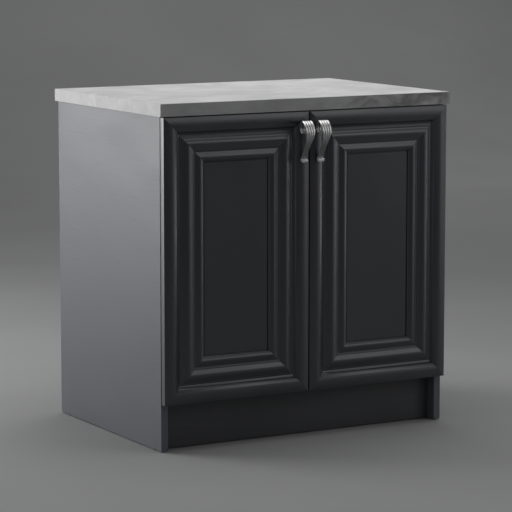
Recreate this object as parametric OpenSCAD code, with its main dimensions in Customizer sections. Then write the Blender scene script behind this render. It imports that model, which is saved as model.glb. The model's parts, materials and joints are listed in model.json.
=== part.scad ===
// Two-door kitchen base unit with a moulded-frame front, a stone-look
// worktop and scroll pulls.
// Frame: +Z up, X to the right seen from the front, -Y to the front,
// origin on the floor at the middle of the unit's box.
// The modules below are drawn with y = 0 at the front edges of the side
// panels; place() moves them to the final frame.

/* [Unit] */
// Width over the side panels
unit_w = 800; // [700:50:1000]
// Depth of the side panels
unit_d = 557; // [530:1:600]
// Height from the floor to the top of the worktop
unit_h = 838; // [820:1:900]
// Thickness of the carcass boards
board_t = 18; // [17.5:0.5:19]

/* [Worktop] */
// Thickness of the worktop with its laminate
top_t = 30.5; // [26:0.5:40]
// Overhang of the worktop at each side
top_side = 7.5; // [3:0.5:20]
// Overhang of the worktop in front of the side panels
top_front = 20; // [10:1:30]
// Overhang of the worktop behind the side panels
top_back = 5; // [0:1:20]
// Thickness of the worktop's top laminate
laminate_t = 0.8; // [0.6:0.1:1.2]
// Thickness of the worktop's edge bands
band_t = 1; // [0.8:0.1:2]

/* [Plinth] */
// Height of the bottom board's underside above the floor
plinth_h = 115; // [105:5:150]
// Set-back of the plinth board behind the side panels' front edges
plinth_back = 30; // [20:1:60]
// Height of the floor glides
glide_h = 3; // [2:0.5:5]

/* [Doors] */
// Thickness of a door at the crest of its frame
door_t = 20; // [19.6:0.1:22]
// Gap between a door's back and the carcass
door_gap = 1.8; // [1.7:0.1:2.2]
// Set-in of each door's outer edge from the side panel's outer face
door_reveal = 0.8; // [0.5:0.1:1]
// Gap between the two doors
door_mid = 3; // [2:0.5:5]
// Gap between the doors and the worktop
door_top = 2.5; // [2:0.5:5]
// Distance the doors reach below the bottom board's upper face
door_lap = 16; // [10:1:17]
// Depth of the flat field below the frame's crest
field_d = 12; // [11:0.5:13]

/* [Pulls] */
// Distance of each pull's middle line from the middle of the unit
pull_x = 23; // [20:0.5:25]
// Width of a pull's band at the top
pull_w = 28; // [26:1:29]
// Width of a pull's band at the foot
pull_foot = 16; // [15:0.5:20]
// Distance of the pull's top below the door's top edge
pull_drop = 20; // [15:0.5:60]

/* [Shelf] */
// Height of the shelf's underside above the floor
shelf_z = 455; // [430:5:480]
// Number of pin holes in each row
pin_rows = 5; // [3:2:7]

/* [Hidden] */
$fn = 48;

// Middle line of the band: [distance in front of the door, height from the top]
pull_pts = [[13.6, -94.7], [15, -96.8], [14.6, -99.3], [12.2, -100.9], [9.5, -100.2], [8.1, -97.6],
  [8.2, -93.6], [9.7, -89.4], [12.4, -84.6], [18.9, -72.5], [26.5, -61.5], [34.4, -48.8], [39.3, -37.5], [40.1, -26.5],
  [37, -16.2], [31, -7.4], [22.4, -1.5], [15.6, -3.4], [12, -9.4], [11.3, -16.5], [12.4, -23.6],
  [16.2, -29.2], [21, -30], [24.2, -26.8]];
function spl(a, b, c, d, t) = 0.5 * (2 * b + (c - a) * t + (2 * a - 5 * b + 4 * c - d) * t * t
  + (3 * b - a - 3 * c + d) * t * t * t);
pn = len(pull_pts);
function pp(i) = pull_pts[max(0, min(pn - 1, i))];
pull_line = concat([for (i = [0:pn - 2], k = [0:1]) spl(pp(i - 1), pp(i), pp(i + 1), pp(i + 2), k / 2)], [pp(pn - 1)]);
pl = len(pull_line);
function unit2(v) = v / norm(v);
function nrm(i) = let (d = unit2(pull_line[min(pl - 1, i + 1)] - pull_line[max(0, i - 1)])) [-d[1], d[0]];
function band_outline(h) = concat([for (i = [0:pl - 1]) pull_line[i] + nrm(i) * h],
  [for (i = [pl - 1:-1:0]) pull_line[i] - nrm(i) * h]);
// Depth of the pull in front of the door's crest
rib_h = 1.75;
web_h = 1.15;
pull_s = max([for (p = band_outline(rib_h)) p[0]]);
// Middle of the whole box in y, measured from the side panels' front edges
y_front = -(door_gap + door_t + pull_s);
y_back = unit_d + top_back;
y_mid = (y_front + y_back) / 2;

half = unit_w / 2;                  // outer face of a side panel
inner = half - board_t;             // inner face of a side panel
top_z = unit_h - top_t;             // underside of the worktop
floor_z = plinth_h;                 // underside of the bottom board
deck_z = plinth_h + board_t;        // upper face of the bottom board
mid_z = plinth_h + board_t / 2;     // middle of the bottom board
rail_z = top_z - board_t;           // underside of the top rails
rail_w = 100;                       // width of the top rails
back_t = 16;                        // thickness of the back board
back_y = unit_d - back_t;           // front face of the back board
plinth_t = 16;                      // thickness of the plinth board

// Doors
dx0 = half - door_reveal;           // outer edge, from the middle
dx1 = door_mid / 2;                 // inner edge, from the middle
dz0 = deck_z - door_lap;            // lower edge
dz1 = top_z - door_top;             // upper edge
db = -door_gap;                     // back face
dc = -(door_gap + door_t);          // crest of the front face
frame_w = 41;                       // width of the mitred frame members
field_t = 115;                      // where the flat field starts

// Hinges: heights of the two hinges of each door
hinge_hi = dz1 - 100.5;
hinge_lo = dz0 + 100;
hz = [hinge_lo, hinge_hi];
cup_in = 20.5;                      // cup's middle from the door's edge
cup_r = 17.5;
cup_d = 12;                         // depth of the cup
// Hinge geometry in (u, v): u from the side panel's inner face, v to the back
pa = [11.3, -4.0];                  // pin at the arm's nose
pc = [-6.3, -8.1];                  // pin in the cup
cu = -board_t + door_reveal + cup_in;  // cup's middle
pin_r = 1.5;
eye_r = 2.7;
run_c = 0.05;                       // running clearance of the link's eyes

// Rows of shelf pin holes
pin_r5 = 2.5;
pin_y = [60, 500];
pin_c = shelf_z - pin_r5;
pin_pitch = 32;

board_c = [0.22, 0.22, 0.24];
door_c = [0.17, 0.17, 0.19];
steel_c = [0.72, 0.73, 0.75];

module place() { translate([0, -y_mid, 0]) children(); }
module box(x0, x1, y0, y1, z0, z1) {
  translate([x0, y0, z0]) cube([x1 - x0, y1 - y0, z1 - z0]);
}
module xrod(x0, x1, y, z, r) {
  translate([x0, y, z]) rotate([0, 90, 0]) cylinder(r = r, h = x1 - x0);
}
module yrod(x, y0, y1, z, r) {
  translate([x, y1, z]) rotate([90, 0, 0]) cylinder(r = r, h = y1 - y0);
}
module zrod(x, y, z0, z1, r) {
  translate([x, y, z0]) cylinder(r = r, h = z1 - z0);
}
module xcone(x0, x1, y, z, r0, r1) {
  translate([x0, y, z]) rotate([0, 90, 0]) cylinder(r1 = r0, r2 = r1, h = x1 - x0);
}
module ycone(x, y0, y1, z, r0, r1) {
  translate([x, y0, z]) rotate([-90, 0, 0]) cylinder(r1 = r0, r2 = r1, h = y1 - y0);
}

// Positions of the board fittings: [y, z] of the bolts and dowels that run
// along x, for the bottom board and the two top rails
cam_at = [[60, mid_z], [480, mid_z], [35, rail_z + board_t / 2], [back_y - 35, rail_z + board_t / 2]];
dowel_at = [[100, mid_z], [440, mid_z], [75, rail_z + board_t / 2], [back_y - 75, rail_z + board_t / 2]];
back_dowel_z = [220, 460, 700];
cam_x = inner - 26;                 // middle of each cam

// ---------------------------------------------------------------- carcass

// The right-hand side panel; the left one is its mirror image
module side_panel() {
  difference() {
    box(inner, half, 0, unit_d, glide_h, top_z);
    for (p = cam_at) xrod(inner - 1, inner + 11, p[0], p[1], 2.5);
    for (p = dowel_at) xrod(inner - 1, inner + 12, p[0], p[1], 4);
    for (z = back_dowel_z) xrod(inner - 1, inner + 12, back_y + back_t / 2, z, 4);
    for (y = pin_y, k = [0:pin_rows - 1])
      xrod(inner - 1, inner + 10, y, pin_c + (k - (pin_rows - 1) / 2) * pin_pitch, pin_r5);
    for (z = hz, s = [-16, 16]) xrod(inner - 1, inner + 11, 37, z + s, 2.5);
    for (p = [[40], [unit_d - 40]]) zrod(half - board_t / 2, p[0], 0, glide_h + 11, 1.2);
    for (z = [30, 88]) xrod(inner - 1, inner + 9, plinth_back + plinth_t + 13, z, 1.6);
  }
}
module side_panel_left() { color(board_c) place() mirror([1, 0, 0]) side_panel(); }
module side_panel_right() { color(board_c) place() side_panel(); }

// Holes in the end of a board for the cam bolt, the cam and the dowel
module end_holes(cams, dowels, under) {
  for (m = [0, 1]) mirror([m, 0, 0]) {
    for (p = cams) {
      xrod(cam_x, inner + 1, p[0], p[1], 3.5);
      zrod(cam_x, p[0], under - 1, under + 13.5, 7.5);
    }
    for (p = dowels) xrod(inner - 23, inner + 1, p[0], p[1], 4);
  }
}
module bottom_board() {
  color(board_c) place() difference() {
    box(-inner, inner, 0, back_y, floor_z, deck_z);
    end_holes([cam_at[0], cam_at[1]], [dowel_at[0], dowel_at[1]], floor_z);
    for (x = [-250, 0, 250]) yrod(x, back_y - 30, back_y + 1, mid_z, 1.8);
  }
}
module front_top_rail() {
  color(board_c) place() difference() {
    box(-inner, inner, 0, rail_w, rail_z, top_z);
    end_holes([cam_at[2]], [dowel_at[2]], rail_z);
    for (x = [-220, 220]) zrod(x, rail_w / 2, rail_z - 1, top_z + 1, 2.5);
  }
}
module rear_top_rail() {
  color(board_c) place() difference() {
    box(-inner, inner, back_y - rail_w, back_y, rail_z, top_z);
    end_holes([cam_at[3]], [dowel_at[3]], rail_z);
    for (x = [-220, 220]) zrod(x, back_y - rail_w / 2, rail_z - 1, top_z + 1, 2.5);
    for (x = [-250, 0, 250]) yrod(x, back_y - 30, back_y + 1, rail_z + board_t / 2, 1.8);
  }
}
module back_board() {
  color(board_c) place() difference() {
    box(-inner, inner, back_y, unit_d, glide_h, top_z);
    for (m = [0, 1]) mirror([m, 0, 0])
      for (z = back_dowel_z) xrod(inner - 23, inner + 1, back_y + back_t / 2, z, 4);
    for (x = [-250, 0, 250], z = [mid_z, rail_z + board_t / 2]) {
      yrod(x, back_y - 1, unit_d + 1, z, 2.1);
      ycone(x, unit_d - 4, unit_d, z, 2.1, 4.2);
    }
  }
}
module back_board_screws() {
  color(steel_c) place() for (x = [-250, 0, 250], z = [mid_z, rail_z + board_t / 2])
    difference() {
      union() {
        yrod(x, back_y - 29, back_y, z, 1.8);
        yrod(x, back_y, unit_d - 0.2, z, 2.0);
        ycone(x, unit_d - 3.9, unit_d - 0.2, z, 2.0, 3.9);
      }
      for (a = [45, 135]) translate([x, unit_d, z]) rotate([0, a, 0])
        translate([-2.4, -1.8, -0.4]) cube([4.8, 3, 0.8]);
    }
}
module shelf() {
  color(board_c) place()
    box(-inner + 1, inner - 1, 20, back_y - 2, shelf_z, shelf_z + board_t);
}
module shelf_pins() {
  color(steel_c) place() for (m = [0, 1]) mirror([m, 0, 0]) for (y = pin_y) union() {
    xrod(inner - 8, inner + 9, y, pin_c, pin_r5);
    xrod(inner - 1.5, inner, y, pin_c, 2.5);
  }
}
module plinth_board() {
  color(board_c) place() difference() {
    box(-inner + 0.3, inner - 0.3, plinth_back, plinth_back + plinth_t, glide_h, floor_z);
    for (m = [0, 1]) mirror([m, 0, 0]) for (z = [30, 88])
      yrod(inner - 17, plinth_back + plinth_t - 8, plinth_back + plinth_t + 1, z, 1.6);
  }
}
// Corner brackets behind the plinth board: an L-shaped plastic angle
module plinth_brackets() {
  py = plinth_back + plinth_t;
  color([0.12, 0.12, 0.13]) place() for (m = [0, 1]) mirror([m, 0, 0]) difference() {
    translate([0, 0, 14]) linear_extrude(90)
      polygon([[inner, py], [inner, py + 24], [inner - 3, py + 24], [inner - 3, py + 7],
               [inner - 7, py + 3], [inner - 27, py + 3], [inner - 27, py]]);
    for (z = [30, 88]) {
      xrod(inner - 10, inner + 1, py + 13, z, 1.9);
      yrod(inner - 17, py - 1, py + 10, z, 1.9);
    }
  }
}
module bracket_screws() {
  py = plinth_back + plinth_t;
  color(steel_c) place() for (m = [0, 1]) mirror([m, 0, 0]) for (z = [30, 88]) {
    union() {
      xrod(inner - 3, inner + 9, py + 13, z, 1.6);
      xcone(inner - 4.6, inner - 3, py + 13, z, 2.2, 3.4);
    }
    union() {
      yrod(inner - 17, py - 8, py + 3, z, 1.6);
      ycone(inner - 17, py + 3, py + 4.6, z, 3.4, 2.2);
    }
  }
}
module floor_glides() {
  color([0.1, 0.1, 0.1]) place() for (x = [-1, 1], y = [40, unit_d - 40]) union() {
    zrod(x * (half - board_t / 2), y, 0, glide_h, 8);
    zrod(x * (half - board_t / 2), y, glide_h, glide_h + 11, 1.2);
  }
}
module cam_bolts() {
  color(steel_c) place() for (m = [0, 1]) mirror([m, 0, 0]) for (p = cam_at) union() {
    xrod(inner, inner + 11, p[0], p[1], 2.5);
    xrod(inner - 1.2, inner, p[0], p[1], 3.4);
    xrod(cam_x, inner - 1.2, p[0], p[1], 2.5);
    xrod(cam_x, cam_x + 2.5, p[0], p[1], 3.2);
  }
}
module cam_locks() {
  color([0.62, 0.62, 0.64]) place() for (m = [0, 1]) mirror([m, 0, 0]) for (p = cam_at) {
    under = p[1] - board_t / 2;
    difference() {
      zrod(cam_x, p[0], under + 0.2, under + 13.2, 7.4);
      xrod(cam_x - 1, cam_x + 8, p[0], p[1], 3.4);
      translate([cam_x, p[0], under]) {
        translate([-4, -0.7, -1]) cube([8, 1.4, 3]);
        translate([-0.7, -4, -1]) cube([1.4, 8, 3]);
      }
    }
  }
}
module dowels() {
  color([0.75, 0.62, 0.45]) place() for (m = [0, 1]) mirror([m, 0, 0]) {
    for (p = dowel_at) xrod(inner - 22.5, inner + 11.5, p[0], p[1], 4);
    for (z = back_dowel_z) xrod(inner - 22.5, inner + 11.5, back_y + back_t / 2, z, 4);
  }
}

// ---------------------------------------------------------------- worktop

wx = half + top_side;
wy0 = -top_front;
wy1 = unit_d + top_back;
module worktop_core() {
  color([0.55, 0.47, 0.36]) place() difference() {
    box(-wx + band_t, wx - band_t, wy0 + band_t, wy1 - band_t, top_z, unit_h - laminate_t);
    for (x = [-220, 220], y = [rail_w / 2, back_y - rail_w / 2]) zrod(x, y, top_z - 1, top_z + 16, 2);
  }
}
module worktop_laminate() {
  color([0.62, 0.62, 0.61]) place() box(-wx + band_t, wx - band_t, wy0 + band_t, wy1 - band_t, unit_h - laminate_t, unit_h);
}
module worktop_front_band() {
  color([0.5, 0.5, 0.5]) place() box(-wx, wx, wy0, wy0 + band_t, top_z, unit_h);
}
module worktop_rear_band() {
  color([0.5, 0.5, 0.5]) place() box(-wx, wx, wy1 - band_t, wy1, top_z, unit_h);
}
module worktop_left_band() {
  color([0.5, 0.5, 0.5]) place() box(-wx, -wx + band_t, wy0 + band_t, wy1 - band_t, top_z, unit_h);
}
module worktop_right_band() {
  color([0.5, 0.5, 0.5]) place() box(wx - band_t, wx, wy0 + band_t, wy1 - band_t, top_z, unit_h);
}
module worktop_screws() {
  color(steel_c) place() for (x = [-220, 220], y = [rail_w / 2, back_y - rail_w / 2]) difference() {
    union() {
      zrod(x, y, rail_z, top_z + 15, 2);
      zrod(x, y, rail_z - 2.4, rail_z, 4.5);
    }
    for (a = [0, 90]) translate([x, y, rail_z - 2.4]) rotate([0, 0, a])
      translate([-2.6, -0.45, -1]) cube([5.2, 0.9, 2.4]);
  }
}
module door_bumpers() {
  color([0.3, 0.3, 0.3]) place() for (x = [-60, 60], z = [mid_z + 2, rail_z + 7])
    ycone(x, -(door_gap - 0.3), 0, z, 3.2, 4);
}

// ------------------------------------------------------------------ doors

// A stretch of the moulding's section between two points, in n steps: straight
// (k = 0), a quarter wave that starts steep (k = 1), a quarter wave that ends
// steep (k = 2), a half wave (k = 3), a bow that starts level (k = 4) or a bow
// that ends level (k = 5)
function ease(k, s) = k == 1 ? sin(90 * s) : k == 2 ? 1 - cos(90 * s)
  : k == 3 ? (1 - cos(180 * s)) / 2 : k == 4 ? s * s : k == 5 ? s * (2 - s) : s;
function run(a, b, k, n) = [for (i = [1:n]) [a[0] + (b[0] - a[0]) * i / n, a[1] + (b[1] - a[1]) * ease(k, i / n)]];

// Section of the frame: [distance from the door's edge, height over the crest]
frame_sec = concat([[0, -3.8]], run([0, -3.8], [0.7, -3.4], 1, 2),
  run([0.7, -3.4], [19, 0], 5, 8), [[20.5, -0.03], [22, -0.15], [24, -0.45], [26, -0.87], [28, -1.32], [30, -1.83],
  [32, -2.4], [33.5, -2.9], [35, -3.55], [36.2, -4.4], [37, -5.2], [37.7, -6.2], [38.3, -7], [38.9, -7.45], [frame_w, -8]]);
// Section of the inner panel's moulding, from the frame to the flat field
panel_sec = concat([[frame_w + 0.15, -8.05], [42.6, -8.95], [43.4, -9.3], [43.9, -9.35], [44.5, -9.2], [45.5, -8.45], [46.2, -8.25],
  [48.4, -8.15], [49, -7.95], [51.3, -6.25], [53.4, -5.5], [57.4, -3.2]], run([57.4, -3.2], [65, -1.05], 5, 5),
  run([65, -1.05], [70, -2.05], 4, 4), [[78.3, -5.4], [80, -5.85], [81.6, -6], [82.4, -6.3], [83.3, -7.1], [84, -7.4],
  [84.7, -7.45], [86.5, -7.1], [94.5, -4.05]], run([94.5, -4.05], [98, -3.3], 5, 3),
  run([98, -3.3], [105, -6], 4, 5), [[107, -7.4], [108.4, -8.5], [109.2, -9.4], [109.7, -10.4],
  [110, -field_d - 1.5], [112, -field_d - 1.5], [112.2, -field_d], [field_t, -field_d]]);

tongue_y0 = db - 9.6;
tongue_y1 = db - 4.6;
// Frame member's section in (t, y)
module frame_shape() {
  polygon(concat([for (p = frame_sec) [p[0], dc - p[1]]],
    [[frame_w, tongue_y0 - 0.1], [frame_w - 3, tongue_y0 - 0.1], [frame_w - 3, tongue_y1 + 0.1],
     [frame_w, tongue_y1 + 0.1], [frame_w, db], [0.4, db], [0, db - 0.4]]));
}
panel_back = db - 1.5;
module panel_shape() {
  polygon(concat([for (p = panel_sec) [p[0], dc - p[1]]],
    [[field_t, panel_back], [frame_w + 0.15, panel_back], [frame_w + 0.15, tongue_y1],
     [frame_w - 2.7, tongue_y1], [frame_w - 2.7, tongue_y0], [frame_w + 0.15, tongue_y0]]));
}
// An upright member between z0 and z1 whose ends are cut at 45 degrees;
// w is how far the section reaches
module upright(z0, z1, w, e) {
  intersection() {
    translate([0, 0, z0]) linear_extrude(z1 - z0) children();
    translate([0, 30, 0]) rotate([90, 0, 0]) linear_extrude(90)
      polygon([[0, z0 + e], [w, z0 + w + e], [w, z1 - w - e], [0, z1 - e]]);
  }
}
// A level member along x between x0 and x1, its section's t measured upwards
module level(x0, x1, w, e) {
  intersection() {
    translate([x1, 0, 0]) rotate([0, -90, 0]) linear_extrude(x1 - x0) children();
    translate([0, 30, 0]) rotate([90, 0, 0]) linear_extrude(90)
      polygon([[x0 + e, 0], [x1 - e, 0], [x1 - w - e, w], [x0 + w + e, w]]);
  }
}
// The right door; its outer edge is at x = dx0 and its inner edge at dx1
module hinge_bores() {
  for (z = hz) {
    yrod(dx0 - cup_in, db - cup_d - 0.1, 5, z, cup_r);
    for (s = [-24, 24]) yrod(dx0 - cup_in - 6, db - 11, 5, z + s, 1.7);
  }
}
module pull_bores() {
  for (z = pull_screw_z) yrod(pull_x, dc - 1, db + 1, z, 2.2);
}
module outer_stile() {
  difference() {
    translate([dx0, 0, 0]) mirror([1, 0, 0]) upright(dz0, dz1, frame_w, 0) frame_shape();
    hinge_bores();
  }
}
module inner_stile() {
  difference() {
    translate([dx1, 0, 0]) upright(dz0, dz1, frame_w, 0) frame_shape();
    pull_bores();
  }
}
module bottom_member() {
  translate([0, 0, dz0]) level(dx1, dx0, frame_w, 0) frame_shape();
}
module top_member() {
  translate([0, 0, dz1]) mirror([0, 0, 1]) level(dx1, dx0, frame_w, 0) frame_shape();
}
module door_panel() {
  union() {
    translate([dx0, 0, 0]) mirror([1, 0, 0]) upright(dz0, dz1, field_t, 0) panel_shape();
    translate([dx1, 0, 0]) upright(dz0, dz1, field_t, 0) panel_shape();
    translate([0, 0, dz0]) level(dx1, dx0, field_t, 0) panel_shape();
    translate([0, 0, dz1]) mirror([0, 0, 1]) level(dx1, dx0, field_t, 0) panel_shape();
    box(dx1 + field_t, dx0 - field_t, dc + field_d, panel_back, dz0 + field_t, dz1 - field_t);
  }
}
module left_door_outer_stile() { color(door_c) place() mirror([1, 0, 0]) outer_stile(); }
module left_door_inner_stile() { color(door_c) place() mirror([1, 0, 0]) inner_stile(); }
module left_door_top_rail() { color(door_c) place() mirror([1, 0, 0]) top_member(); }
module left_door_bottom_rail() { color(door_c) place() mirror([1, 0, 0]) bottom_member(); }
module left_door_panel() { color(door_c) place() mirror([1, 0, 0]) door_panel(); }
module right_door_outer_stile() { color(door_c) place() outer_stile(); }
module right_door_inner_stile() { color(door_c) place() inner_stile(); }
module right_door_top_rail() { color(door_c) place() top_member(); }
module right_door_bottom_rail() { color(door_c) place() bottom_member(); }
module right_door_panel() { color(door_c) place() door_panel(); }

// ------------------------------------------------------------------ pulls

pull_top = dz1 - pull_drop;
pull_screw_z = [pull_top - 96.5, pull_top - 17];
pull_post = [7.8, 10.9];            // lengths of the lower and the upper post
// The band's side view, drawn with s to the front and z up, w wide
module band(w, h) {
  translate([-w / 2, dc, pull_top]) rotate([90, 0, 90]) linear_extrude(w)
    mirror([1, 0, 0]) polygon(band_outline(h));
}
// Half width of the band down its length: [half width, height from the top]
pull_side = [[pull_w / 2, 3], [pull_w / 2, -14], [pull_w / 2 - 1, -26], [pull_w / 2 - 3.2, -37], [pull_foot / 2 + 0.7, -49],
  [pull_foot / 2 - 0.3, -61], [pull_foot / 2 - 0.5, -84], [pull_foot / 2, -91], [pull_foot / 2, -108]];
module pull() {
  rib = pull_w / 4;
  translate([pull_x, 0, 0]) difference() {
    union() {
      intersection() {
        union() {
          band(pull_w, web_h);
          for (k = [-1.5, -0.5, 0.5, 1.5]) translate([k * rib, 0, 0]) band(rib - 2.4, rib_h);
        }
        translate([0, 30, pull_top]) rotate([90, 0, 0]) linear_extrude(120)
          polygon(concat(pull_side, [for (i = [len(pull_side) - 1:-1:0]) [-pull_side[i][0], pull_side[i][1]]]));
      }
      for (i = [0, 1]) yrod(0, dc - pull_post[i], dc, pull_screw_z[i], 4.2);
    }
    for (z = pull_screw_z) yrod(0, dc - 5.6, dc + 1, z, 2);
  }
}
module left_pull() { color([0.75, 0.75, 0.74]) place() mirror([1, 0, 0]) pull(); }
module right_pull() { color([0.75, 0.75, 0.74]) place() pull(); }
module pull_screw_set() {
  for (z = pull_screw_z) translate([pull_x, 0, 0]) difference() {
    union() {
      yrod(0, dc - 5.4, db, z, 2);
      yrod(0, db, db + 2.2, z, 4);
    }
    for (a = [0, 90]) translate([0, db + 2.2, z]) rotate([0, a, 0])
      translate([-2.4, -1.3, -0.45]) cube([4.8, 3, 0.9]);
  }
}
module left_pull_screws() { color(steel_c) place() mirror([1, 0, 0]) pull_screw_set(); }
module right_pull_screws() { color(steel_c) place() pull_screw_set(); }

// ----------------------------------------------------------------- hinges
// Drawn for the left side in (u, v, w) with w along the pins, then placed

module at_hinge(z) { translate([-inner, 0, z]) children(); }

// The cup, its flange with two wings, and the two blocks that hold the pin
module hinge_cup() {
  v0 = db - cup_d;
  difference() {
    union() {
      difference() {
        union() {
          yrod(cu, v0, db, 0, cup_r);
          yrod(cu, db, db + 0.8, 0, cup_r + 0.6);
          box(cu, cu + 11.5, db, db + 0.8, -25, 25);
          for (s = [-25, 25]) yrod(cu + 6, db, db + 0.8, s, 5.5);
        }
        yrod(cu, v0 + 0.8, db + 5, 0, cup_r - 1.6);
      }
      intersection() {
        yrod(cu, v0 + 0.4, db, 0, cup_r - 0.5);
        union() for (s = [-1, 1]) box(pc[0] - 3.6, pc[0] + 3.6, v0 + 0.4, pc[1] + 2.9,
          s > 0 ? 6.4 : -16, s > 0 ? 16 : -6.4);
      }
    }
    translate([pc[0], pc[1], -12]) cylinder(r = pin_r, h = 24);
    for (s = [-24, 24]) yrod(cu + 6, db - 1, db + 2, s, 2.1);
  }
}
module cup_pin() {
  translate([pc[0], pc[1], -10.5]) cylinder(r = pin_r, h = 21);
}
module cup_screw_pair() {
  for (s = [-24, 24]) difference() {
    union() {
      yrod(cu + 6, db - 10.5, db, s, 1.7);
      yrod(cu + 6, db, db + 0.8, s, 1.9);
      ycone(cu + 6, db + 0.8, db + 2.2, s, 3.8, 2.6);
    }
    for (a = [0, 90]) translate([cu + 6, db + 2.2, s]) rotate([0, a, 0])
      translate([-1.8, -1, -0.4]) cube([3.6, 3, 0.8]);
  }
}
// The link: a bent plate with an eye at each end
lk = pa - pc;
lk_l = norm(lk);
lk_b = 4.4;                          // how far it bows towards the cup's floor
lk_r = lk_l * lk_l / (8 * lk_b) + lk_b / 2;
lk_n = [lk[1], -lk[0]] / lk_l;       // direction of the bow
lk_c = (pa + pc) / 2 + lk_n * (lk_b - lk_r);
module hinge_link() {
  translate([0, 0, -5]) linear_extrude(10) difference() {
    union() {
      translate(pa) circle(r = eye_r);
      translate(pc) circle(r = eye_r);
      difference() {
        translate(lk_c) circle(r = lk_r + 1.2, $fn = 96);
        translate(lk_c) circle(r = lk_r - 1.2, $fn = 96);
        // keep only the sector between the two eyes
        polygon([lk_c, lk_c + 3 * (pa - lk_c), lk_c + 3 * (pa - lk_c) - 60 * lk_n,
                 lk_c + 3 * (pc - lk_c) - 60 * lk_n, lk_c + 3 * (pc - lk_c)]);
      }
    }
    translate(pa) circle(r = pin_r + run_c);
    translate(pc) circle(r = pin_r + run_c);
  }
}
module arm_pin() {
  translate([pa[0], pa[1], -7.2]) cylinder(r = pin_r, h = 14.4);
}
// The arm: a channel on the plate's spine, with two cheeks at its nose
module hinge_arm() {
  difference() {
    union() {
      // cheeks and nose
      intersection() {
        translate([0, 0, -7]) linear_extrude(14) union() {
          translate(pa) circle(r = 3.4);
          polygon([[pa[0] - 3.4, pa[1]], [pa[0] + 3.4, pa[1]], [pa[0] + 3.4, 3], [17, 9],
                   [17, 66], [6.4, 66], [6.4, 5], [pa[0] - 3.4, 1]]);
        }
        box(0, 20, -10, 70, -7, 7);
      }
    }
    // slot for the link at the nose
    box(pa[0] - 10, pa[0] + 10, pa[1] - 6, 2, -5.3, 5.3);
    // hollow of the channel, open towards the side panel
    box(5, 15.4, 8, 70, -5.4, 5.4);
    translate([pa[0], pa[1], -8]) cylinder(r = pin_r, h = 16);
    // slot and hole for the two setting screws
    xrod(10, 20, 24, 0, 2.2);
    xrod(10, 20, 52, 0, 2.2);
  }
}
// Mounting plate: cross-shaped base with two wings and a raised spine
module hinge_plate() {
  difference() {
    union() {
      box(0, 2, 12, 62, -7, 7);
      box(0, 2, 30, 44, -22, 22);
      box(2, 12, 12, 60, -5.2, 5.2);
    }
    for (s = [-16, 16]) xrod(-1, 3, 37, s, 3.2);
    xrod(3, 13, 52, 0, 2.2);
    box(5, 13, 18, 34, -3.2, 3.2);
  }
}
module plate_screw_pair() {
  for (s = [-16, 16]) difference() {
    union() {
      xrod(-10.5, 0, 37, s, 2.5);
      xrod(0, 2, 37, s, 3.1);
      xcone(2, 3.6, 37, s, 4.6, 3.2);
    }
    for (a = [0, 90]) translate([3.6, 37, s]) rotate([a, 0, 0])
      translate([-1.3, -2.3, -0.45]) cube([3, 4.6, 0.9]);
  }
  difference() {
    union() {
      xrod(4, 17, 52, 0, 2.1);
      xrod(17, 18.4, 52, 0, 3.6);
    }
    for (a = [0, 90]) translate([18.4, 52, 0]) rotate([a, 0, 0])
      translate([-1, -2.2, -0.45]) cube([3, 4.4, 0.9]);
  }
}

module left_hinge_cups() { color(steel_c) place() for (z = hz) at_hinge(z) hinge_cup(); }
module left_cup_screws() { color(steel_c) place() for (z = hz) at_hinge(z) cup_screw_pair(); }
module left_cup_pins() { color(steel_c) place() for (z = hz) at_hinge(z) cup_pin(); }
module left_hinge_links() { color(steel_c) place() for (z = hz) at_hinge(z) hinge_link(); }
module left_upper_hinge_arm() { color(steel_c) place() at_hinge(hinge_hi) hinge_arm(); }
module left_lower_hinge_arm() { color(steel_c) place() at_hinge(hinge_lo) hinge_arm(); }
module left_arm_pins() { color(steel_c) place() for (z = hz) at_hinge(z) arm_pin(); }
module left_hinge_plates() { color(steel_c) place() for (z = hz) at_hinge(z) hinge_plate(); }
module right_hinge_cups() { color(steel_c) place() mirror([1, 0, 0]) for (z = hz) at_hinge(z) hinge_cup(); }
module right_cup_screws() { color(steel_c) place() mirror([1, 0, 0]) for (z = hz) at_hinge(z) cup_screw_pair(); }
module right_cup_pins() { color(steel_c) place() mirror([1, 0, 0]) for (z = hz) at_hinge(z) cup_pin(); }
module right_hinge_links() { color(steel_c) place() mirror([1, 0, 0]) for (z = hz) at_hinge(z) hinge_link(); }
module right_upper_hinge_arm() { color(steel_c) place() mirror([1, 0, 0]) at_hinge(hinge_hi) hinge_arm(); }
module right_lower_hinge_arm() { color(steel_c) place() mirror([1, 0, 0]) at_hinge(hinge_lo) hinge_arm(); }
module right_arm_pins() { color(steel_c) place() mirror([1, 0, 0]) for (z = hz) at_hinge(z) arm_pin(); }
module right_hinge_plates() { color(steel_c) place() mirror([1, 0, 0]) for (z = hz) at_hinge(z) hinge_plate(); }
module hinge_plate_screws() {
  color(steel_c) place() for (m = [0, 1]) mirror([m, 0, 0]) for (z = hz) at_hinge(z) plate_screw_pair();
}

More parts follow.
